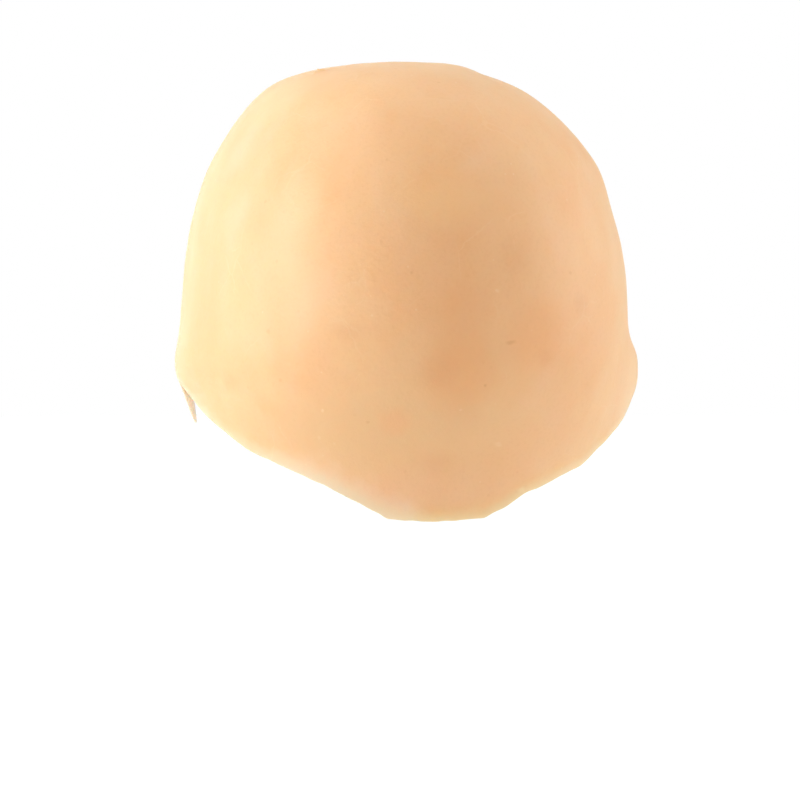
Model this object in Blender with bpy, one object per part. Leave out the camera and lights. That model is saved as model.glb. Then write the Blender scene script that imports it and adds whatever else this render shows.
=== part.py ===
"""Bald cap: one thin latex shell moulded to a head and worn pulled down over the tops of the ears.

Metres, +Z up. The wearer faces -Y, so +X is the wearer's left. The origin is the spot inside the crown
where the top of the head touches the latex. Bearings turn from the back of the head (0) towards the
wearer's left (90), the forehead (180) and the wearer's right (-90).
"""

import math
from collections import namedtuple

import bmesh
import bpy
import numpy as np

# Driving sizes
WALL = 0.0010  # latex thickness
HALF_BREADTH = 0.0757  # crown axis to each side of the head
FRONT_REACH = 0.0960  # crown axis to the forehead
BACK_REACH = 0.0930  # crown axis to the back of the head
EAR_DEPTH = 0.1040  # outside of the crown down to the ear line
NAPE_DROP = 0.0490  # ear line down to the edge at the nape
BROW_RISE = 0.0270  # ear line up to the edge at the middle of the forehead
TAB_DROP = 0.0200  # ear line down to the tip of the tab in front of each ear
EAR_SWELL = 0.0062  # how far the right ear pushes the latex out
HOLLOW = 0.0012  # depth of the hollows where the latex bridges the head
LIP_WIDTH = 0.0070  # margin along the edge that turns outwards
LIP_FLARE = 0.0009  # how far the edge stands out of the shell
PLAN_FRONT = 2.20  # squareness of the plan at the forehead, where 2 is an ellipse
PLAN_BACK = 2.08  # squareness of the plan at the back
RINGS = 17  # rings of faces from the crown to the lip
LIP_RINGS = 2  # rings of faces across the lip

LATEX_COLOUR = (0.84, 0.49, 0.27, 1.0)
LATEX_ROUGHNESS = 0.45

# Level sections of the outside. down is a share of EAR_DEPTH up to 1, and past 1 of NAPE_DROP.
# left and right are shares of HALF_BREADTH, front of FRONT_REACH and back of BACK_REACH.
Section = namedtuple("Section", "down left right front back")
SECTIONS = (
    Section(0.008, 0.285, 0.255, 0.215, 0.205),
    Section(0.034, 0.475, 0.330, 0.415, 0.405),
    Section(0.087, 0.625, 0.498, 0.595, 0.590),
    Section(0.192, 0.757, 0.690, 0.765, 0.775),
    Section(0.327, 0.867, 0.850, 0.880, 0.895),
    Section(0.462, 0.933, 0.912, 0.945, 0.962),
    Section(0.596, 0.973, 0.961, 0.982, 0.994),
    Section(0.731, 0.992, 0.988, 0.999, 1.000),
    Section(0.865, 1.000, 0.992, 1.000, 0.982),
    Section(1.000, 1.000, 0.994, 0.988, 0.940),
    Section(1.245, 0.970, 0.980, 0.955, 0.872),
    Section(1.449, 0.922, 0.948, 0.915, 0.800),
    Section(1.653, 0.870, 0.890, 0.870, 0.735),
    Section(1.898, 0.815, 0.825, 0.825, 0.680),
    Section(2.143, 0.780, 0.785, 0.795, 0.650),
)

# The free edge, from the nape round to the forehead, measured from the ear line. size is what left and
# right are shares of, downwards, and faces is the number of columns of faces up to the next row.
Edge = namedtuple("Edge", "bearing size left right faces")
EDGE = (
    Edge(0, NAPE_DROP, 1.00, 1.00, 3),
    Edge(14, NAPE_DROP, 0.99, 1.00, 1),
    Edge(17, NAPE_DROP, 0.95, 0.97, 1),
    Edge(21, NAPE_DROP, 0.90, 0.93, 2),
    Edge(27, NAPE_DROP, 0.83, 0.84, 2),
    Edge(33, NAPE_DROP, 0.76, 0.78, 3),
    Edge(47, NAPE_DROP, 0.61, 0.63, 2),
    Edge(54, NAPE_DROP, 0.54, 0.52, 2),
    Edge(61, NAPE_DROP, 0.45, 0.44, 3),
    Edge(73, NAPE_DROP, 0.30, 0.34, 3),
    Edge(85, NAPE_DROP, 0.13, 0.15, 2),
    Edge(93, NAPE_DROP, 0.06, 0.07, 2),
    Edge(99, TAB_DROP, 0.36, 0.40, 2),
    Edge(104, TAB_DROP, 0.86, 0.88, 1),
    Edge(107, TAB_DROP, 1.00, 1.00, 1),
    Edge(110, TAB_DROP, 0.84, 0.84, 2),
    Edge(116, BROW_RISE, -0.02, -0.02, 3),
    Edge(128, BROW_RISE, -0.46, -0.46, 3),
    Edge(144, BROW_RISE, -0.76, -0.76, 3),
    Edge(162, BROW_RISE, -0.94, -0.94, 3),
    Edge(180, BROW_RISE, -1.00, -1.00, 0),
)

# Swellings and hollows of the shell. down is measured as in a section, wide is a half-angle in degrees,
# high is a half-height as a share of EAR_DEPTH, and out is a share of size, outwards.
Form = namedtuple("Form", "bearing down wide high size out")
FORMS = (
    Form(86, 1.00, 16, 0.085, EAR_SWELL, 0.55),
    Form(-80, 1.03, 15, 0.110, EAR_SWELL, 1.00),
    Form(64, 1.12, 9, 0.075, HOLLOW, -0.75),
    Form(-62, 1.16, 11, 0.090, HOLLOW, -0.80),
    Form(142, 0.62, 17, 0.170, HOLLOW, -1.00),
    Form(-142, 0.62, 17, 0.170, HOLLOW, -1.00),
    Form(8, 1.40, 24, 0.120, HOLLOW, -0.60),
    Form(-30, 0.42, 20, 0.160, HOLLOW, -0.35),
)


def smooth_curve(stations, values):
    """The natural cubic spline through values at stations, as a function of the station."""
    x, y = np.asarray(stations, float), np.asarray(values, float)
    gap, count = np.diff(x), len(x)
    matrix, right_side = np.eye(count), np.zeros(count)
    for i in range(1, count - 1):
        matrix[i, i - 1 : i + 2] = gap[i - 1], 2 * (gap[i - 1] + gap[i]), gap[i]
        right_side[i] = 6 * ((y[i + 1] - y[i]) / gap[i] - (y[i] - y[i - 1]) / gap[i - 1])
    bend = np.linalg.solve(matrix, right_side)

    def at(u):
        i = int(np.clip(np.searchsorted(x, u) - 1, 0, count - 2))
        before, after, h = u - x[i], x[i + 1] - u, gap[i]
        return (
            (bend[i] * after**3 + bend[i + 1] * before**3) / (6 * h)
            + (y[i] / h - bend[i] * h / 6) * after
            + (y[i + 1] / h - bend[i + 1] * h / 6) * before
        )

    return at


def steady_curve(stations, values):
    """A curve through values that never overshoots a row, as a function of the station."""
    x, y = np.asarray(stations, float), np.asarray(values, float)
    gap = np.diff(x)
    slope = np.diff(y) / gap
    turn = np.zeros(len(x))
    for i in range(1, len(x) - 1):
        if slope[i - 1] * slope[i] > 0:
            a, b = 2 * gap[i] + gap[i - 1], gap[i] + 2 * gap[i - 1]
            turn[i] = (a + b) / (a / slope[i - 1] + b / slope[i])

    def at(u):
        i = int(np.clip(np.searchsorted(x, u) - 1, 0, len(x) - 2))
        h, s = gap[i], (u - x[i]) / gap[i]
        rise = y[i] * (1 + 2 * s) * (1 - s) ** 2 + y[i + 1] * s * s * (3 - 2 * s)
        return rise + h * s * (1 - s) * (turn[i] * (1 - s) - turn[i + 1] * s)

    return at


def depth_of(down):
    """Metres below the crown of a section's down."""
    return min(down, 1) * EAR_DEPTH + max(down - 1, 0) * NAPE_DROP


def head_curves():
    """Depth, and the reach to the left, right, front and back, as curves of the section number.

    Each runs through the crown and up the far side of the head, which keeps the crown round.
    """
    count = len(SECTIONS)
    numbers = range(-count, count + 1)
    depths = [depth_of(s.down) for s in SECTIONS]
    depth = smooth_curve(numbers, depths[::-1] + [0] + depths)

    def across(near, far, near_size, far_size):
        ahead = [getattr(s, near) * near_size for s in SECTIONS]
        behind = [-getattr(s, far) * far_size for s in SECTIONS]
        return smooth_curve(numbers, behind[::-1] + [0] + ahead)

    sideways = across("left", "right", HALF_BREADTH, HALF_BREADTH)
    lengthways = across("back", "front", BACK_REACH, FRONT_REACH)
    return depth, sideways, lengthways


DEPTH, SIDEWAYS, LENGTHWAYS = head_curves()


def swelling(bearing, depth):
    """How far the forms push the shell out at a bearing and a depth."""
    total = 0.0
    for form in FORMS:
        turned = (bearing - form.bearing + 180) % 360 - 180
        lowered = (depth - depth_of(form.down)) / (form.high * EAR_DEPTH)
        total += form.out * form.size * math.exp(-((turned / form.wide) ** 2) - lowered**2)
    return total


def head_point(section, bearing):
    """A point on the outside of the shell, without its lip."""
    angle = math.radians(bearing)
    left, right = SIDEWAYS(section), -SIDEWAYS(-section)
    back, front = LENGTHWAYS(section), -LENGTHWAYS(-section)
    half_breadth = (left + right) / 2 + (left - right) / 2 * math.sin(angle)
    half_length = (back + front) / 2 + (back - front) / 2 * math.cos(angle)
    squareness = (PLAN_FRONT + PLAN_BACK) / 2 + (PLAN_BACK - PLAN_FRONT) / 2 * math.cos(angle)
    share = abs(math.sin(angle) / half_breadth) ** squareness + abs(math.cos(angle) / half_length) ** squareness
    depth = DEPTH(section)
    radius = share ** (-1 / squareness) + swelling(bearing, depth)
    return np.array((radius * math.sin(angle), radius * math.cos(angle), WALL - depth))


def edge_curves():
    """Depth of the free edge as a curve of the unsigned bearing, for each side of the head."""
    bearings = [row.bearing for row in EDGE]
    sides = {}
    for side in ("left", "right"):
        depths = [EAR_DEPTH + getattr(row, side) * row.size for row in EDGE]
        sides[side] = steady_curve(bearings, depths)
    return sides


EDGE_DEPTH = edge_curves()


def edge_section(bearing):
    """The section number at which the shell ends at a bearing."""
    wanted = EDGE_DEPTH["left" if bearing >= 0 else "right"](abs(bearing))
    low, high = 0.0, float(len(SECTIONS))
    for _ in range(40):
        middle = (low + high) / 2
        if DEPTH(middle) < wanted:
            low = middle
        else:
            high = middle
    return low


def column_bearings():
    """Bearings of the columns of points, close together round the tabs in front of the ears."""
    one_side = []
    for row, following in zip(EDGE, EDGE[1:]):
        step = (following.bearing - row.bearing) / row.faces
        one_side += [row.bearing + step * i for i in range(row.faces)]
    return one_side + [180] + [-b for b in one_side[:0:-1]]


def shell_column(bearing):
    """The points of one column, from the ring nearest the crown down to the free edge."""
    last = edge_section(bearing)
    step = 0.02
    run = np.linalg.norm(head_point(last, bearing) - head_point(last - step, bearing)) / step
    lip_start = last - LIP_WIDTH / run
    sections = [lip_start * i / RINGS for i in range(1, RINGS + 1)]
    points = [head_point(section, bearing) for section in sections]
    for i in range(1, LIP_RINGS + 1):
        share = i / LIP_RINGS
        section = lip_start + (last - lip_start) * share
        point = head_point(section, bearing)
        outwards = np.array((math.sin(math.radians(bearing)), math.cos(math.radians(bearing)), 0))
        points.append(point + outwards * LIP_FLARE * share**2)
    return points


def latex():
    material = bpy.data.materials.new("latex")
    material.use_nodes = True
    shader = material.node_tree.nodes["Principled BSDF"]
    shader.inputs["Base Color"].default_value = LATEX_COLOUR
    shader.inputs["Roughness"].default_value = LATEX_ROUGHNESS
    shader.inputs["Metallic"].default_value = 0.0
    return material


def cap_shell():
    """The whole cap: its outside in rings from the crown, given its wall inwards."""
    columns = [shell_column(bearing) for bearing in column_bearings()]
    cage = bmesh.new()
    crown = cage.verts.new((0, 0, WALL))
    grid = [[cage.verts.new(point) for point in column] for column in columns]
    for i, column in enumerate(grid):
        following = grid[(i + 1) % len(grid)]
        cage.faces.new((crown, following[0], column[0]))
        for j in range(len(column) - 1):
            cage.faces.new((column[j], following[j], following[j + 1], column[j + 1]))
    bmesh.ops.recalc_face_normals(cage, faces=cage.faces)
    mesh = bpy.data.meshes.new("cap_shell")
    cage.to_mesh(mesh)
    cage.free()
    mesh.shade_smooth()
    mesh.materials.append(latex())
    shell = bpy.data.objects.new("cap_shell", mesh)
    bpy.context.scene.collection.objects.link(shell)
    wall = shell.modifiers.new("wall", "SOLIDIFY")
    wall.thickness = WALL
    wall.offset = -1
    wall.use_even_offset = True
    return shell


for leftover in list(bpy.data.objects):
    bpy.data.objects.remove(leftover)
cap_shell()
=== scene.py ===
import math
from collections import namedtuple

import bmesh
import bpy
import numpy as np
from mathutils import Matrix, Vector

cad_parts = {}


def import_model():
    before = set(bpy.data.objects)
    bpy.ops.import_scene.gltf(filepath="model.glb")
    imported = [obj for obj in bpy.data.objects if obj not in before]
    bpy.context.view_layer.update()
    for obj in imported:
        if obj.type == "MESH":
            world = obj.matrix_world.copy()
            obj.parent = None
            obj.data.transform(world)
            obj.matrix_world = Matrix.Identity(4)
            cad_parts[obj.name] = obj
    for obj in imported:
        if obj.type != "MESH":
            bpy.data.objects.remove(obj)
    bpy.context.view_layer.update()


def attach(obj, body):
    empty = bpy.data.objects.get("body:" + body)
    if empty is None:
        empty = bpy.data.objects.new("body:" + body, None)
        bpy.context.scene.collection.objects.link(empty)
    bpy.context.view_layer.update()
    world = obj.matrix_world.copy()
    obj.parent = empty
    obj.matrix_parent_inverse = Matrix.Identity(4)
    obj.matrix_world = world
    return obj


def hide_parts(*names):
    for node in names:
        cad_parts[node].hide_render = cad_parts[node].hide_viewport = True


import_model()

# The wearer faces -Y and the wearer's left is +X. Bearings turn from the back of the head (0) towards
# the left (90), the forehead (180) and the right (-90). Depths are measured down from the crown.


# Node helpers

class Wire:
    # One output of a node. Arithmetic on it adds Math nodes to the same tree.
    def __init__(self, tree, socket=None):
        self.tree = tree
        self.socket = socket

    def node(self, kind, settings=None, sockets=None, output=0):
        made = self.tree.nodes.new(kind)
        for name, value in (settings or {}).items():
            if name == "captures":
                made.capture_items.new(value, "Value")
            else:
                setattr(made, name, value)
        for name, value in (sockets or {}).items():
            for item in value if isinstance(value, list) else [value]:
                if isinstance(item, Wire):
                    self.tree.links.new(item.socket, made.inputs[name])
                else:
                    made.inputs[name].default_value = item
        return Wire(self.tree, made.outputs[output])

    def beside(self, output):
        # another output of the node that this wire leaves
        return Wire(self.tree, self.socket.node.outputs[output])

    def math(self, operation, *values):
        return self.node("ShaderNodeMath", {"operation": operation}, dict(enumerate(values)))

    def vector(self, operation, *values, output=0):
        settings = {"operation": operation}
        return self.node("ShaderNodeVectorMath", settings, dict(enumerate(values)), output)

    def scaled(self, factor):
        settings = {"operation": "SCALE"}
        return self.node("ShaderNodeVectorMath", settings, {0: self, "Scale": factor})

    def between(self, low, high, toLow=0.0, toHigh=1.0):
        # eases from toLow to toHigh as the value goes from low to high
        settings = {"interpolation_type": "SMOOTHSTEP"}
        sockets = {"Value": self, "From Min": low, "From Max": high, "To Min": toLow, "To Max": toHigh}
        return self.node("ShaderNodeMapRange", settings, sockets)

    def tint(self, amount, colour):
        # inputs 6 and 7 and output 2 are the ones that carry colours
        return self.node("ShaderNodeMix", {"data_type": "RGBA"}, {0: amount, 6: self, 7: colour}, 2)

    def __add__(self, other):
        return self.math("ADD", self, other)

    def __sub__(self, other):
        return self.math("SUBTRACT", self, other)

    def __rsub__(self, other):
        return self.math("SUBTRACT", other, self)

    def __mul__(self, other):
        return self.math("MULTIPLY", self, other)

    __radd__ = __add__
    __rmul__ = __mul__


# New objects and materials

def newObject(name, data):
    made = bpy.data.objects.new(name, data)
    bpy.context.scene.collection.objects.link(made)
    return made


def newMaterial(name):
    material = bpy.data.materials.new(name)
    material.use_nodes = True
    return material, material.node_tree, material.node_tree.nodes["Principled BSDF"]


# The shell's form

cap = {
    "wall": 0.0010,  # latex thickness
    "halfBreadth": 0.0757,
    "frontReach": 0.0960,
    "backReach": 0.0930,
    "earDepth": 0.1040,  # crown to the ear line
    "napeDrop": 0.0490,  # ear line to the edge at the nape
    "browRise": 0.0270,  # ear line up to the edge at the forehead
    "tabDrop": 0.0200,  # ear line to the tip of each tab
    "lipWidth": 0.0065,  # margin that turns outwards
    "lipFlare": {"nape": 0.0012, "ears": 0.0004, "brow": 0.0010},
    "planFront": 2.20,  # squareness of the plan, where 2 is an ellipse
    "planBack": 2.08,
    "rings": 96,
    "lipRings": 14,
    "columnsPerFace": 4,
    "edgeWobble": 0.00010,  # unevenness of the trimmed edge
    "edgeHalvings": 40,  # steps to find where a column meets the edge
    "edgeProbe": 0.02,  # of a section, to measure how far a column runs at the edge
    "depthSamples": 1500,  # down a column, to find a section from a depth
    "distanceBatches": 40,  # of points, to save memory
    "sharpAngle": 60,
}

# Level sections. down is a share of earDepth up to 1, and past 1 of napeDrop. The rest are shares of
# halfBreadth, frontReach and backReach.
Section = namedtuple("Section", "down left right front back")
capSections = (
    Section(0.008, 0.285, 0.255, 0.215, 0.205),
    Section(0.034, 0.475, 0.330, 0.415, 0.405),
    Section(0.087, 0.625, 0.498, 0.595, 0.590),
    Section(0.192, 0.757, 0.690, 0.765, 0.775),
    Section(0.327, 0.867, 0.850, 0.880, 0.895),
    Section(0.462, 0.933, 0.912, 0.945, 0.962),
    Section(0.596, 0.973, 0.961, 0.982, 0.994),
    Section(0.731, 0.992, 0.988, 0.999, 1.000),
    Section(0.865, 1.000, 0.992, 1.000, 0.982),
    Section(1.000, 1.000, 0.994, 0.988, 0.940),
    Section(1.245, 0.970, 0.980, 0.955, 0.872),
    Section(1.449, 0.922, 0.948, 0.915, 0.800),
    Section(1.653, 0.870, 0.890, 0.870, 0.735),
    Section(1.898, 0.815, 0.825, 0.825, 0.680),
    Section(2.143, 0.780, 0.785, 0.795, 0.650),
)

# The free edge from the nape round to the forehead, as shares of a size below the ear line. faces times
# columnsPerFace columns lead to the next row.
Edge = namedtuple("Edge", "bearing size left right faces")
capEdge = (
    Edge(0, "napeDrop", 1.00, 1.00, 3),
    Edge(14, "napeDrop", 0.985, 0.985, 1),
    Edge(17, "napeDrop", 0.945, 0.955, 1),
    Edge(21, "napeDrop", 0.895, 0.915, 2),
    Edge(27, "napeDrop", 0.825, 0.828, 2),
    Edge(33, "napeDrop", 0.75, 0.778, 2),
    Edge(40, "napeDrop", 0.675, 0.707, 1),
    Edge(47, "napeDrop", 0.61, 0.66, 2),
    Edge(54, "napeDrop", 0.545, 0.54, 2),
    Edge(61, "napeDrop", 0.455, 0.455, 3),
    Edge(73, "napeDrop", 0.31, 0.35, 3),
    Edge(85, "napeDrop", 0.13, 0.15, 2),
    Edge(93, "napeDrop", 0.06, 0.07, 2),
    Edge(99, "tabDrop", 0.48, 0.50, 2),
    Edge(104, "tabDrop", 0.94, 0.94, 1),
    Edge(107, "tabDrop", 1.00, 1.00, 1),
    Edge(113, "tabDrop", 0.90, 0.90, 1),
    Edge(119, "tabDrop", 0.58, 0.58, 1),
    Edge(123, "tabDrop", 0.16, 0.16, 2),
    Edge(129, "browRise", -0.34, -0.34, 2),
    Edge(136, "browRise", -0.60, -0.60, 2),
    Edge(144, "browRise", -0.76, -0.76, 3),
    Edge(162, "browRise", -0.94, -0.94, 3),
    Edge(180, "browRise", -1.00, -1.00, 0),
)

# Waves of the trimmed edge. count is how many go round the cap, and share is of edgeWobble.
Wave = namedtuple("Wave", "count share phase")
edgeWaves = (
    Wave(19, 1.0, 1.3),
    Wave(43, 0.7, 0.0),
    Wave(71, 0.5, 2.0),
)

# Swellings and hollows. down is as in a section, wide a half-angle in degrees, high a share of earDepth
# and out is in metres.
Form = namedtuple("Form", "bearing down wide high out")
capForms = (
    Form(86, 0.985, 16, 0.100, 0.0030),  # over the left ear
    Form(-78, 1.10, 15, 0.120, 0.0049),  # over the right ear, with its upper rim
    Form(-82, 0.955, 12, 0.045, 0.0014),
    Form(64, 1.12, 9, 0.075, -0.0009),  # behind the ears
    Form(-62, 1.16, 11, 0.090, -0.0010),
    Form(142, 0.62, 17, 0.170, -0.0012),  # temples
    Form(-142, 0.62, 17, 0.170, -0.0012),
    Form(8, 1.40, 24, 0.120, -0.0007),  # above the nape
    Form(-30, 0.42, 20, 0.160, -0.0004),  # where the latex bridges the back of the crown
)

# Small lumps and dents of the stretched latex, at places in metres. long is the half length from front
# to back, and wide the half size the other two ways.
Lump = namedtuple("Lump", "x y z wide long out")
capLumps = (
    Lump(0.0322, 0.0215, -0.0030, 0.0015, 0.0015, 0.0013),  # nub on the crown
    Lump(0.0290, 0.0230, -0.0030, 0.0130, 0.0450, -0.0003),
    Lump(0.0030, 0.0200, 0.0010, 0.0150, 0.0150, 0.0003),
    Lump(-0.0125, 0.0330, -0.0024, 0.0040, 0.0100, 0.0008),  # ridge beside the crown, and the flat past it
    Lump(-0.0200, 0.0380, -0.0060, 0.0110, 0.0500, -0.0009),
    Lump(-0.0310, 0.0450, -0.0130, 0.0090, 0.0500, -0.0003),
    Lump(-0.0480, 0.0420, -0.0260, 0.0180, 0.0600, -0.0003),
    Lump(-0.0385, 0.0490, -0.0180, 0.0040, 0.0060, 0.0003),
    Lump(-0.0465, 0.0470, -0.0240, 0.0035, 0.0060, 0.0004),
    Lump(-0.0505, 0.0460, -0.0275, 0.0030, 0.0250, -0.0003),
    Lump(-0.0545, 0.0450, -0.0315, 0.0022, 0.0060, 0.0003),
    Lump(-0.0565, 0.0440, -0.0340, 0.0022, 0.0200, -0.0003),
    Lump(-0.0590, 0.0150, -0.0300, 0.0070, 0.0400, -0.0003),
    Lump(-0.0757, 0.0130, -0.0740, 0.0240, 0.0240, 0.0006),
    Lump(-0.0130, 0.0200, 0.0000, 0.0090, 0.0300, 0.0003),
    Lump(0.0600, 0.0050, -0.0230, 0.0100, 0.0400, -0.0003),
    Lump(0.0745, -0.0130, -0.0855, 0.0080, 0.0300, 0.0003),
)


def naturalSpline(stations, values):
    x, y = np.asarray(stations, float), np.asarray(values, float)
    gap, count = np.diff(x), len(x)
    matrix, rightSide = np.eye(count), np.zeros(count)
    for i in range(1, count - 1):
        matrix[i, i - 1 : i + 2] = gap[i - 1], 2 * (gap[i - 1] + gap[i]), gap[i]
        rightSide[i] = 6 * ((y[i + 1] - y[i]) / gap[i] - (y[i] - y[i - 1]) / gap[i - 1])
    bend = np.linalg.solve(matrix, rightSide)

    def at(u):
        i = np.clip(np.searchsorted(x, u) - 1, 0, count - 2)
        before, after, h = u - x[i], x[i + 1] - u, gap[i]
        return (
            (bend[i] * after**3 + bend[i + 1] * before**3) / (6 * h)
            + (y[i] / h - bend[i] * h / 6) * after
            + (y[i + 1] / h - bend[i + 1] * h / 6) * before
        )

    return at


def steadySpline(stations, values):
    # never overshoots a row
    x, y = np.asarray(stations, float), np.asarray(values, float)
    gap = np.diff(x)
    slope = np.diff(y) / gap
    turn = np.zeros(len(x))
    for i in range(1, len(x) - 1):
        if slope[i - 1] * slope[i] > 0:
            a, b = 2 * gap[i] + gap[i - 1], gap[i] + 2 * gap[i - 1]
            turn[i] = (a + b) / (a / slope[i - 1] + b / slope[i])

    def at(u):
        i = np.clip(np.searchsorted(x, u) - 1, 0, len(x) - 2)
        h, s = gap[i], (u - x[i]) / gap[i]
        rise = y[i] * (1 + 2 * s) * (1 - s) ** 2 + y[i + 1] * s * s * (3 - 2 * s)
        return rise + h * s * (1 - s) * (turn[i] * (1 - s) - turn[i + 1] * s)

    return at


def depthOf(down):
    return min(down, 1) * cap["earDepth"] + max(down - 1, 0) * cap["napeDrop"]


def acrossCap(near, far, nearSize, farSize):
    # a reach as a curve of the section number, run through the crown to the far side, so it stays round
    count = len(capSections)
    ahead = [getattr(section, near) * nearSize for section in capSections]
    behind = [-getattr(section, far) * farSize for section in capSections]
    return naturalSpline(range(-count, count + 1), behind[::-1] + [0] + ahead)


def capCurves():
    count = len(capSections)
    depths = [depthOf(section.down) for section in capSections]
    bearings = [row.bearing for row in capEdge]
    edge = {}
    for side in ("left", "right"):
        rows = [cap["earDepth"] + getattr(row, side) * cap[row.size] for row in capEdge]
        edge[side] = steadySpline(bearings, rows)
    return {
        "depth": naturalSpline(range(-count, count + 1), depths[::-1] + [0] + depths),
        "sideways": acrossCap("left", "right", cap["halfBreadth"], cap["halfBreadth"]),
        "lengthways": acrossCap("back", "front", cap["backReach"], cap["frontReach"]),
        "edge": edge,
    }


curves = capCurves()


def swelling(bearing, depth):
    total = 0.0
    for form in capForms:
        turned = (bearing - form.bearing + 180) % 360 - 180
        lowered = (depth - depthOf(form.down)) / (form.high * cap["earDepth"])
        total = total + form.out * np.exp(-((turned / form.wide) ** 2) - lowered**2)
    return total


def headPoints(sections, bearing):
    # points on the outside of one column, without the lip
    angle = math.radians(bearing)
    left, right = curves["sideways"](sections), -curves["sideways"](-sections)
    back, front = curves["lengthways"](sections), -curves["lengthways"](-sections)
    halfBreadth = (left + right) / 2 + (left - right) / 2 * math.sin(angle)
    halfLength = (back + front) / 2 + (back - front) / 2 * math.cos(angle)
    middle = (cap["planFront"] + cap["planBack"]) / 2
    change = (cap["planBack"] - cap["planFront"]) / 2
    power = middle + change * math.cos(angle)
    share = abs(math.sin(angle) / halfBreadth) ** power + abs(math.cos(angle) / halfLength) ** power
    depth = curves["depth"](sections)
    radius = share ** (-1 / power) + swelling(bearing, depth)
    return np.stack((radius * math.sin(angle), radius * math.cos(angle), cap["wall"] - depth), axis=-1)


def edgeWobble(bearing):
    # the small unevenness of an edge trimmed by hand
    angle = math.radians(bearing)
    heights = [wave.share * math.sin(wave.count * angle + wave.phase) for wave in edgeWaves]
    return cap["edgeWobble"] * sum(heights)


def edgeSection(bearing):
    side = "left" if bearing >= 0 else "right"
    wanted = curves["edge"][side](abs(bearing)) + edgeWobble(bearing)
    low, high = 0.0, float(len(capSections))
    for _ in range(cap["edgeHalvings"]):
        middle = (low + high) / 2
        if curves["depth"](middle) < wanted:
            low = middle
        else:
            high = middle
    return low


def columnBearings():
    oneSide = []
    for row, following in zip(capEdge, capEdge[1:]):
        count = row.faces * cap["columnsPerFace"]
        oneSide += [row.bearing + (following.bearing - row.bearing) * i / count for i in range(count)]
    return oneSide + [180] + [-bearing for bearing in oneSide[:0:-1]]


def capColumn(bearing):
    last = edgeSection(bearing)
    probe = cap["edgeProbe"]
    nearEdge = headPoints(np.array((last - probe, last)), bearing)
    run = np.linalg.norm(nearEdge[1] - nearEdge[0]) / probe
    lipStart = last - cap["lipWidth"] / run
    body = lipStart * np.arange(1, cap["rings"] + 1) / cap["rings"]
    share = np.arange(1, cap["lipRings"] + 1) / cap["lipRings"]
    points = headPoints(np.concatenate((body, lipStart + (last - lipStart) * share)), bearing)
    angle = math.radians(bearing)
    flares = cap["lipFlare"]
    end = flares["nape"] if abs(bearing) < 90 else flares["brow"]
    flare = flares["ears"] + (end - flares["ears"]) * math.cos(angle) ** 2
    outwards = np.array((math.sin(angle), math.cos(angle), 0))
    points[cap["rings"] :] += outwards * (flare * share**2)[:, None]
    return points


def lumps(points):
    rise = np.zeros(len(points))
    for lump in capLumps:
        share = (points - np.array(lump[:3])) / (lump.wide, lump.long, lump.wide)
        rise += lump.out * np.exp(-(share**2).sum(axis=1))
    return rise


def capSheet():
    # the outside of the cap as one open sheet. Its points know their distance from the free edge and how
    # far a lump lifts them.
    columns = np.array([capColumn(bearing) for bearing in columnBearings()])
    count, deep = columns.shape[:2]
    crown = np.array([[0, 0, cap["wall"]]])
    points = np.concatenate((crown, columns.reshape(-1, 3)))
    faces = []
    for i in range(count):
        here, there = 1 + i * deep, 1 + (i + 1) % count * deep
        faces.append((0, there, here))
        faces += [(there + j, there + j + 1, here + j + 1, here + j) for j in range(deep - 1)]
    mesh = bpy.data.meshes.new("latexShell")
    mesh.from_pydata(points.tolist(), [], faces)
    edge = columns[:, -1]
    batches = np.array_split(points, cap["distanceBatches"])
    distance = np.concatenate([np.linalg.norm(part[:, None] - edge, axis=2).min(1) for part in batches])
    for name, values in {"edgeDistance": distance, "lump": lumps(points)}.items():
        layer = mesh.attributes.new(name, "FLOAT", "POINT")
        layer.data.foreach_set("value", values.astype(np.float32))
    mesh.update()
    return mesh


# The latex skin: soft ripples, small blisters, and a wall that thins out towards the free edge

skin = {
    "Ripple Height": 0.00030,
    "Ripple Size": 0.017,
    "Ripple Detail": 2.0,
    "Swell Height": 0.00045,
    "Swell Size": 0.055,
    "Swell Detail": 1.0,
    "Blister Height": 0.00016,
    "Blister Radius": 0.0024,
    "Blister Gap": 0.016,
    "Blister Density": 900.0,
    "Seed": 7,
    "Wall": cap["wall"],
    "Edge Wall": 0.00045,
    "Feather": 0.006,  # over which the wall thins out
    "Merge Distance": 0.000001,  # for the seam between outside and inside
}


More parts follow.
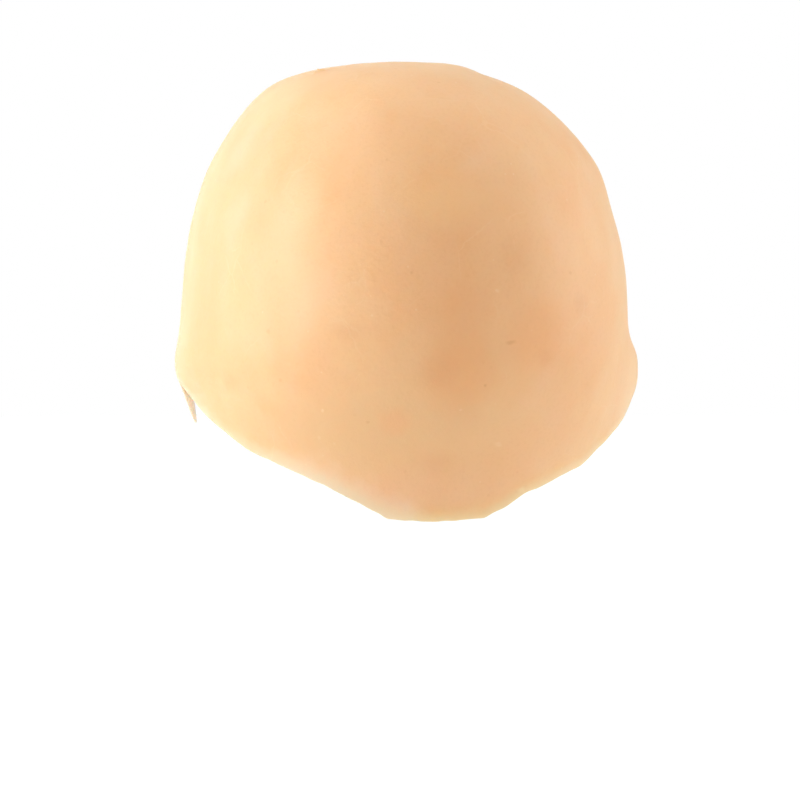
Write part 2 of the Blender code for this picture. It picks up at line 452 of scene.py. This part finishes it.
def latexTree(material):
    tree = bpy.data.node_groups.new("latexSkin", "GeometryNodeTree")
    tree.interface.new_socket("Geometry", in_out="INPUT", socket_type="NodeSocketGeometry")
    for name, value in skin.items():
        kind = "NodeSocketInt" if isinstance(value, int) else "NodeSocketFloat"
        tree.interface.new_socket(name, in_out="INPUT", socket_type=kind).default_value = value
    tree.interface.new_socket("Geometry", in_out="OUTPUT", socket_type="NodeSocketGeometry")
    start = Wire(tree)
    sheet = start.node("NodeGroupInput")
    size = {name: sheet.beside(name) for name in skin}
    normal = start.node("GeometryNodeInputNormal")
    place = start.node("GeometryNodeInputPosition")

    def stored(name):
        return start.node("GeometryNodeInputNamedAttribute", {"data_type": "FLOAT"}, {"Name": name})

    def wave(name):
        lengths = start.node("ShaderNodeCombineXYZ", {}, dict.fromkeys("XYZ", size[name + " Size"]))
        spread = place.vector("DIVIDE", place, lengths)
        sockets = {"Vector": spread, "Scale": 1.0, "Detail": size[name + " Detail"]}
        noise = start.node("ShaderNodeTexNoise", {}, sockets)
        return (noise - 0.5) * size[name + " Height"] * 2

    sockets = {
        "Mesh": sheet,
        "Distance Min": size["Blister Gap"],
        "Density Max": size["Blister Density"],
        "Seed": size["Seed"],
    }
    spots = start.node("GeometryNodeDistributePointsOnFaces", {"distribute_method": "POISSON"}, sockets)
    away = start.node("GeometryNodeProximity", {"target_element": "POINTS"}, {0: spots}, output="Distance")
    blister = away.between(size["Blister Radius"], 0.0) * size["Blister Height"]
    offset = normal.scaled(wave("Swell") + wave("Ripple") + blister + stored("lump"))
    outside = start.node("GeometryNodeSetPosition", {}, {"Geometry": sheet, "Offset": offset})

    # the inside is the outside extruded by nothing, then moved inwards
    thickness = stored("edgeDistance").between(0.0, size["Feather"], size["Edge Wall"], size["Wall"])
    inwards = normal.scaled(thickness * -1)
    held = start.node(
        "GeometryNodeCaptureAttribute",
        {"captures": "VECTOR"},
        {"Geometry": outside, "Value": inwards},
    )
    walled = start.node(
        "GeometryNodeExtrudeMesh",
        {},
        {"Mesh": held, "Offset Scale": 0.0, "Individual": False},
    )
    inside = start.node(
        "GeometryNodeSetPosition",
        {},
        {"Geometry": walled, "Selection": walled.beside("Top"), "Offset": held.beside("Value")},
    )
    known = start.node(
        "GeometryNodeStoreNamedAttribute",
        {"data_type": "FLOAT", "domain": "POINT"},
        {"Geometry": inside, "Selection": walled.beside("Top"), "Name": "inner", "Value": 1.0},
    )
    flipped = start.node("GeometryNodeFlipFaces", {}, {"Mesh": known})
    both = start.node("GeometryNodeJoinGeometry", {}, {"Geometry": [outside, flipped]})
    sockets = {"Geometry": both, "Distance": size["Merge Distance"]}
    closed = start.node("GeometryNodeMergeByDistance", {}, sockets)
    real = start.node("GeometryNodeRealizeInstances", {}, {"Geometry": closed})
    done = start.node("GeometryNodeSetMaterial", {}, {"Geometry": real, "Material": material})
    end = tree.nodes.new("NodeGroupOutput")
    tree.links.new(done.socket, end.inputs["Geometry"])
    return tree


def applyTree(piece, tree, values):
    modifier = piece.modifiers.new("nodes", "NODES")
    modifier.node_group = tree
    for item in tree.interface.items_tree:
        if item.item_type == "SOCKET" and item.in_out == "INPUT" and item.name in values:
            modifier[item.identifier] = values[item.name]
    depsgraph = bpy.context.evaluated_depsgraph_get()
    mesh = bpy.data.meshes.new_from_object(piece.evaluated_get(depsgraph))
    piece.modifiers.clear()
    sheet = piece.data
    piece.data = mesh
    bpy.data.meshes.remove(sheet)


# The latex itself

latex = {
    "colour": (0.83, 0.518, 0.277, 1),
    # a rosy tone of the latex, also used as painted shade in some marks
    "rosyAndShade": (0.865, 0.455, 0.225, 1),
    "sallow": (0.855, 0.545, 0.285, 1),
    # a dark stain tone of the latex, also used as painted shade in some broader marks
    "stainAndShade": (0.58, 0.29, 0.125, 1),
    # a pale tone of the latex, also used as painted light, sheen and highlight in some marks
    "bleachedAndLit": (0.93, 0.70, 0.46, 1),
    # painted highlight along the trimmed edge
    "edgeHighlight": (0.93, 0.74, 0.52, 1),
    # an amber tone of the latex, also used as painted shade in some marks
    "amberAndShade": (0.80, 0.40, 0.155, 1),
    "light": (0.97, 0.575, 0.285, 1),
    # a milky tone of the latex, also used as painted light along the edge and in some marks
    "milkyAndLit": (0.93, 0.70, 0.59, 1),
    # painted shade, for the broad darkening low on the back of the head
    "paintedShade": (0.78, 0.525, 0.273, 1),
    # painted light: the cream of the tabs' inside, for light shining through
    "tabGlow": (1.00, 0.96, 0.78, 1),
    "fleckEnd": 0.07,  # radius of a fleck, as a share of the gap between flecks
    "fleckFull": 0.02,  # and of its full middle
    "creaseGap": 0.016,  # between the pale creases
    "creaseWidth": 0.022,  # to each side, as a share of the gap
    "creaseAmount": 0.16,
    "creasePatch": 0.020,  # size of the patches that hold creases
    "creaseFade": (0.50, 0.68),
    "margin": 0.0045,  # width of the pale band along the edge, partly paler thin latex and partly painted light
    "marginAmount": 0.28,
    "marginWave": 0.011,  # size of its unevenness
    "marginLeast": 0.2,  # its unevenness, as shares of its width
    "marginSpread": 1.6,
    "slopeMargin": 0.0120,  # its width on the slope left of the nape
    "slopeExtra": 0.27,  # what the slope adds to its amount
    "slopeStart": (0.000, 0.015),  # X over which the slope comes in
    "slopeEnd": (0.066, 0.034),  # X at which it is gone, and up to which it is whole
    "edgeHighlightWidth": 0.0005,  # of the painted highlight along the trimmed edge itself
    "edgeHighlightAmount": 0.7,
    "markWander": 0.0016,  # how far the outline of a mark strays
    "wanderSize": 0.006,
    "markEnd": 1.3,  # reach of a mark, as a share of its half size
    "markFull": 0.2,  # and of its full middle
    "roughness": 0.52,
    "roughnessSpread": 0.10,
    "roughnessSize": 0.012,
    "crazing": 0.00005,  # depth of the fine creases and pores
    "crazingSize": 0.0035,
    "crazingPatch": 0.030,  # size of the patches that are more and less crazed
    "crazingFade": (0.35, 0.65),
    "crazingLeast": 0.6,
    "crazingShare": 2.0,  # of the depth
    "poreSize": 0.0009,
    "poreShare": 0.5,
    "shader": {
        "Subsurface Weight": 0.9,
        "Subsurface Radius": (1.0, 0.70, 0.50),
        "Subsurface Scale": 0.0030,
        "Sheen Weight": 0.06,
        "Sheen Roughness": 0.4,
        "IOR": 1.45,
    },
}

# Mottling, one layer on another. size is that of its clouds, upright below 1 draws them out downwards,
# and the tone comes in as the noise goes from low to high.
Mottle = namedtuple("Mottle", "tone amount size detail upright low high")
latexMottling = (
    Mottle("rosyAndShade", 0.25, 0.0340, 2.0, 1.00, 0.42, 0.68),
    Mottle("sallow", 0.35, 0.0210, 3.0, 1.00, 0.50, 0.72),
    Mottle("amberAndShade", 0.22, 0.0140, 1.5, 0.65, 0.48, 0.80),
    Mottle("milkyAndLit", 0.09, 0.0140, 1.5, 0.65, 0.52, 0.20),
    Mottle("stainAndShade", 0.08, 0.0012, 3.0, 1.00, 0.45, 0.75),
)

# Tiny pale and dark specks, spaced by gap.
Fleck = namedtuple("Fleck", "tone amount gap")
latexFlecks = (
    Fleck("bleachedAndLit", 0.30, 0.0075),
    Fleck("stainAndShade", 0.20, 0.0130),
)

# Marks on the latex, one on another: specks and tints of its own, and painted shade and painted light.
# bearing and depth place them, and wide and high are half sizes.
Mark = namedtuple("Mark", "bearing depth wide high tone amount")
latexMarks = (
    Mark(-2, 0.112, 0.0300, 0.0300, "paintedShade", 0.60),  # broad tints: partly the latex's own uneven tone, partly painted shade over the back of the head, which faces away from the lamps, and partly painted light
    Mark(-2, 0.105, 0.0160, 0.0150, "amberAndShade", 0.46),
    Mark(-2, 0.086, 0.0120, 0.0150, "amberAndShade", 0.32),
    Mark(-18, 0.092, 0.0130, 0.0140, "amberAndShade", 0.30),
    Mark(-24, 0.065, 0.0090, 0.0120, "amberAndShade", 0.16),
    Mark(-27, 0.094, 0.0120, 0.0150, "amberAndShade", 0.20),
    Mark(-16, 0.111, 0.0100, 0.0070, "amberAndShade", 0.14),
    Mark(29, 0.040, 0.0220, 0.0120, "amberAndShade", 0.12),
    Mark(-8, 0.027, 0.0220, 0.0100, "amberAndShade", 0.14),
    Mark(35, 0.102, 0.0120, 0.0090, "amberAndShade", 0.12),
    Mark(-26, 0.016, 0.0150, 0.0100, "amberAndShade", 0.14),
    Mark(36, 0.012, 0.0100, 0.0100, "amberAndShade", 0.10),
    Mark(-34, 0.046, 0.0120, 0.0200, "rosyAndShade", 0.20),
    Mark(51, 0.103, 0.0160, 0.0100, "amberAndShade", 0.20),
    Mark(69, 0.080, 0.0190, 0.0300, "rosyAndShade", 0.42),
    # painted shade: dims the left side, where the lamps light it most
    Mark(96, 0.062, 0.0180, 0.0500, "rosyAndShade", 0.50),
    Mark(-34, 0.097, 0.0200, 0.0250, "stainAndShade", 0.08),
    Mark(34, 0.124, 0.0140, 0.0090, "stainAndShade", 0.08),
    Mark(18, 0.123, 0.0350, 0.0150, "paintedShade", 0.60),
    Mark(3, 0.144, 0.0340, 0.0090, "milkyAndLit", 0.10),
    Mark(-2, 0.118, 0.0120, 0.0110, "stainAndShade", 0.11),
    Mark(14, 0.024, 0.0170, 0.0110, "stainAndShade", 0.08),
    Mark(1.5, 0.049, 0.0130, 0.0110, "light", 0.40),
    Mark(-7, 0.052, 0.0120, 0.0160, "light", 0.18),
    # painted sheen: these two pale the upper left shoulder towards its outline
    Mark(58, 0.015, 0.0150, 0.0140, "bleachedAndLit", 0.26),
    Mark(62, 0.032, 0.0100, 0.0140, "milkyAndLit", 0.16),
    Mark(-37, 0.060, 0.0090, 0.0140, "bleachedAndLit", 0.12),
    # painted light: a paler band at the rim over the right ear
    Mark(-68, 0.110, 0.0120, 0.0150, "bleachedAndLit", 0.45),
    Mark(-45, 0.026, 0.0160, 0.0140, "amberAndShade", 0.16),  # painted shade: a darker rim on the right shoulder
    Mark(-52, 0.036, 0.0130, 0.0180, "amberAndShade", 0.16),
    Mark(-70, 0.092, 0.0140, 0.0300, "amberAndShade", 0.18),
    Mark(34, 0.062, 0.0110, 0.0280, "bleachedAndLit", 0.14),
    Mark(25, 0.082, 0.0110, 0.0140, "bleachedAndLit", 0.12),
    Mark(-10, 0.045, 0.0120, 0.0120, "bleachedAndLit", 0.08),
    Mark(54, 0.054, 0.0080, 0.0120, "milkyAndLit", 0.12),
    Mark(86, 0.097, 0.0120, 0.0120, "milkyAndLit", 0.12),
    Mark(112, 0.118, 0.0240, 0.0220, "tabGlow", 1.00),  # the tabs, whose inside is painted light: cream for the light that shines through them
    Mark(-112, 0.118, 0.0240, 0.0220, "tabGlow", 1.00),
    Mark(-12.4, 0.0946, 0.0017, 0.0009, "stainAndShade", 0.36),
    Mark(-7.8, 0.1081, 0.0006, 0.0006, "stainAndShade", 0.45),
    Mark(8.2, 0.0727, 0.0006, 0.0006, "stainAndShade", 0.28),
    Mark(18.3, 0.1199, 0.0006, 0.0006, "stainAndShade", 0.25),
    Mark(40.5, 0.0909, 0.0012, 0.0012, "stainAndShade", 0.22),
    Mark(-31.0, 0.0826, 0.0048, 0.0044, "stainAndShade", 0.14),
    Mark(-21.3, 0.0992, 0.0036, 0.0032, "stainAndShade", 0.09),
    Mark(12.0, 0.1200, 0.0060, 0.0070, "rosyAndShade", 0.45),
    Mark(2.5, 0.1040, 0.0070, 0.0065, "stainAndShade", 0.12),
    Mark(-13.0, 0.0665, 0.0075, 0.0070, "stainAndShade", 0.09),
    Mark(21.9, 0.0910, 0.0060, 0.0030, "stainAndShade", 0.12),
    Mark(55.0, 0.1071, 0.0060, 0.0035, "stainAndShade", 0.12),
    Mark(0.7, 0.1335, 0.0065, 0.0050, "stainAndShade", 0.11),
    Mark(-8.7, 0.0777, 0.0008, 0.0008, "bleachedAndLit", 0.35),
    Mark(28.8, 0.1161, 0.0007, 0.0007, "bleachedAndLit", 0.45),
    Mark(-3.4, 0.1160, 0.0006, 0.0006, "bleachedAndLit", 0.30),
    Mark(31.1, 0.1254, 0.0009, 0.0009, "bleachedAndLit", 0.20),
    Mark(27.3, 0.1268, 0.0007, 0.0007, "bleachedAndLit", 0.30),
    Mark(-14.9, 0.1278, 0.0014, 0.0012, "bleachedAndLit", 0.25),
    # painted highlight: a bright spot on the edge right of the nape
    Mark(-25.6, 0.1435, 0.0016, 0.0010, "bleachedAndLit", 0.45),
    Mark(33.0, 0.0860, 0.0080, 0.0200, "bleachedAndLit", 0.14),
)


def surfacePoint(bearing, depth):
    # where a bearing and a depth meet on the outside of the shell
    sections = np.linspace(0, len(capSections), cap["depthSamples"])
    section = np.interp(depth, curves["depth"](sections), sections)
    return tuple(headPoints(np.array((section,)), bearing)[0])


def latexMaterial():
    material, tree, shader = newMaterial("latex")
    start = Wire(tree)
    place = start.node("ShaderNodeTexCoord", output="Object")

    def noise(size, detail=2.0, roughness=0.5, vector=place):
        sockets = {"Vector": vector, "Scale": 1 / size, "Detail": detail, "Roughness": roughness}
        return start.node("ShaderNodeTexNoise", {}, sockets)

    def stored(name):
        return start.node("ShaderNodeAttribute", {"attribute_name": name}, output="Fac")

    clouds = noise(latex["wanderSize"], 2.0, 0.6).beside("Color")
    drift = place.vector("SUBTRACT", clouds, (0.5, 0.5, 0.5))
    strayed = place.vector("ADD", place, drift.scaled(latex["markWander"] * 2))

    def mottling(colour):
        for mottle in latexMottling:
            drawn = place.vector("MULTIPLY", place, (1.0, 1.0, mottle.upright))
            shade = noise(mottle.size, mottle.detail, vector=drawn).between(mottle.low, mottle.high)
            colour = colour.tint(shade * mottle.amount, latex[mottle.tone])
        return colour

    def flecks(colour):
        for fleck in latexFlecks:
            cell = start.node("ShaderNodeTexVoronoi", {}, {"Vector": place, "Scale": 1 / fleck.gap})
            shade = cell.between(latex["fleckEnd"], latex["fleckFull"])
            colour = colour.tint(shade * fleck.amount, latex[fleck.tone])
        return colour

    def creases(colour):
        # faint and pale like hairs, and only in patches
        sockets = {"Vector": strayed, "Scale": 1 / latex["creaseGap"]}
        crease = start.node("ShaderNodeTexVoronoi", {"feature": "DISTANCE_TO_EDGE"}, sockets)
        patch = noise(latex["creasePatch"]).between(*latex["creaseFade"])
        shade = crease.between(latex["creaseWidth"], 0.0) * patch
        return colour.tint(shade * latex["creaseAmount"], latex["bleachedAndLit"])

    def marks(colour):
        # painted light: the inside of the thin tabs is painted cream for the light that shines through
        # them
        inner = stored("inner")
        for mark in latexMarks:
            offset = place.vector("SUBTRACT", strayed, surfacePoint(mark.bearing, mark.depth))
            share = place.vector("DIVIDE", offset, (mark.wide, mark.wide, mark.high))
            reach = place.vector("LENGTH", share, output="Value")
            shade = reach.between(latex["markEnd"], latex["markFull"])
            amount = inner * mark.amount if mark.tone == "tabGlow" else mark.amount
            colour = colour.tint(shade * amount, latex[mark.tone])
        return colour

    def margin(colour):
        # a pale band along the free edge, partly the paler thin latex and partly painted light where the
        # thin edge glows, widest left of the nape, on the lit side, and uneven on its inner side
        distance = stored("edgeDistance")
        across = start.node("ShaderNodeSeparateXYZ", {}, {0: place}, output="X")
        slope = across.between(*latex["slopeStart"]) * across.between(*latex["slopeEnd"])
        width = slope * (latex["slopeMargin"] - latex["margin"]) + latex["margin"]
        unevenness = noise(latex["marginWave"], 3.0) * latex["marginSpread"] + latex["marginLeast"]
        amount = slope * latex["slopeExtra"] + latex["marginAmount"]
        colour = colour.tint(distance.between(width * unevenness, 0.0) * amount, latex["milkyAndLit"])
        # painted highlight: a pale line along the trimmed edge, where its thin wall catches light
        return colour.tint(distance.between(latex["edgeHighlightWidth"], 0.0) * latex["edgeHighlightAmount"], latex["edgeHighlight"])

    def crazing():
        # the height of the fine creases and pores
        patch = noise(latex["crazingPatch"]).between(*latex["crazingFade"]) + latex["crazingLeast"]
        fine = noise(latex["crazingSize"], 5.0, 0.65) * patch * latex["crazingShare"]
        return fine + noise(latex["poreSize"]) * latex["poreShare"]

    colour = start.node("ShaderNodeRGB")
    colour.socket.default_value = latex["colour"]
    colour = margin(marks(creases(flecks(mottling(colour)))))
    tree.links.new(colour.socket, shader.inputs["Base Color"])
    spread = latex["roughnessSpread"]
    roughness = noise(latex["roughnessSize"]) * spread + (latex["roughness"] - spread / 2)
    tree.links.new(roughness.socket, shader.inputs["Roughness"])
    sockets = {"Height": crazing(), "Distance": latex["crazing"], "Strength": 1.0}
    bump = start.node("ShaderNodeBump", {}, sockets)
    tree.links.new(bump.socket, shader.inputs["Normal"])
    for name, value in latex["shader"].items():
        shader.inputs[name].default_value = value
    return material


def latexShell():
    shell = newObject("latexShell", capSheet())
    applyTree(shell, latexTree(latexMaterial()), skin)
    shell.data.shade_smooth()
    shell.data.set_sharp_from_angle(angle=math.radians(cap["sharpAngle"]))
    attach(shell, "root")
    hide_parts("cap_shell")
    print("latex shell:", len(shell.data.polygons), "faces")


# Floor, light and camera

studio = {
    "floorDepth": -0.36,
    "floorReach": 6.0,
    "floorSegments": 96,
    "floorRoughness": 0.9,
    "floorColour": (0.93, 0.93, 0.93, 1),
    "floorGlow": 0.55,
    "ambient": 0.50,
    "lampSize": 1.0,
    "lampDistance": 1.5,
    "lampAim": (0, 0, -0.08),
}

# Azimuth 0 is in front of the forehead and 90 on the wearer's left.
lamps = {
    "leftLow": {"azimuth": 95, "elevation": 10, "power": 13.3},
    "leftHigh": {"azimuth": 95, "elevation": 55, "power": 7.8},
    "leftFront": {"azimuth": 60, "elevation": 10, "power": 2.5},
    "front": {"azimuth": 10, "elevation": 10, "power": 2},
    "rightLow": {"azimuth": -95, "elevation": 10, "power": 7.5},
    "rightHigh": {"azimuth": -95, "elevation": 55, "power": 5},
}

view = {
    "azimuth": 170,
    "elevation": 2,
    "distance": 1.05,
    "lens": 136.8,
    "aimAcross": -0.0009,  # image centre, to the right of the crown axis
    "aimHeight": -0.1146,
}


def towards(azimuth, elevation):
    turn, rise = math.radians(azimuth), math.radians(elevation)
    return Vector((math.sin(turn) * math.cos(rise), -math.cos(turn) * math.cos(rise), math.sin(rise)))


def floor():
    mesh = bpy.data.meshes.new("floor")
    rim = bmesh.new()
    segments, radius = studio["floorSegments"], studio["floorReach"]
    bmesh.ops.create_circle(rim, cap_ends=True, segments=segments, radius=radius)
    bmesh.ops.translate(rim, verts=rim.verts, vec=(0, 0, studio["floorDepth"]))
    rim.to_mesh(mesh)
    rim.free()
    material, tree, shader = newMaterial("floor")
    shader.inputs["Base Color"].default_value = studio["floorColour"]
    shader.inputs["Roughness"].default_value = studio["floorRoughness"]
    shader.inputs["Emission Color"].default_value = (1, 1, 1, 1)
    seen = Wire(tree).node("ShaderNodeLightPath", output="Is Camera Ray")
    tree.links.new((seen * studio["floorGlow"]).socket, shader.inputs["Emission Strength"])
    mesh.materials.append(material)
    disc = newObject("floor", mesh)


def softLamp(name, place):
    data = bpy.data.lights.new(name, "AREA")
    data.shape = "DISK"
    data.size = studio["lampSize"]
    data.energy = place["power"]
    lamp = newObject(name, data)
    out = towards(place["azimuth"], place["elevation"])
    lamp.location = Vector(studio["lampAim"]) + out * studio["lampDistance"]
    lamp.rotation_euler = out.to_track_quat("Z", "Y").to_euler()


def world():
    # white behind the cap, and softer as a light
    scene = bpy.context.scene
    scene.world = bpy.data.worlds.new("studio")
    scene.world.use_nodes = True
    tree = scene.world.node_tree
    seen = Wire(tree).node("ShaderNodeLightPath", output="Is Camera Ray")
    strength = seen * (1 - studio["ambient"]) + studio["ambient"]
    background = tree.nodes["Background"]
    background.inputs["Color"].default_value = (1, 1, 1, 1)
    tree.links.new(strength.socket, background.inputs["Strength"])
    scene.view_settings.view_transform = "Standard"


def camera():
    back = towards(view["azimuth"], view["elevation"])
    right = Vector((0, 0, 1)).cross(back).normalized()
    aim = right * view["aimAcross"] + Vector((0, 0, view["aimHeight"]))
    lens = bpy.data.cameras.new("camera")
    lens.lens = view["lens"]
    eye = newObject("camera", lens)
    eye.location = aim + back * view["distance"]
    eye.rotation_euler = back.to_track_quat("Z", "Y").to_euler()
    bpy.context.scene.camera = eye


latexShell()
floor()
for name, place in lamps.items():
    softLamp(name, place)
world()
camera()
print("studio ready")
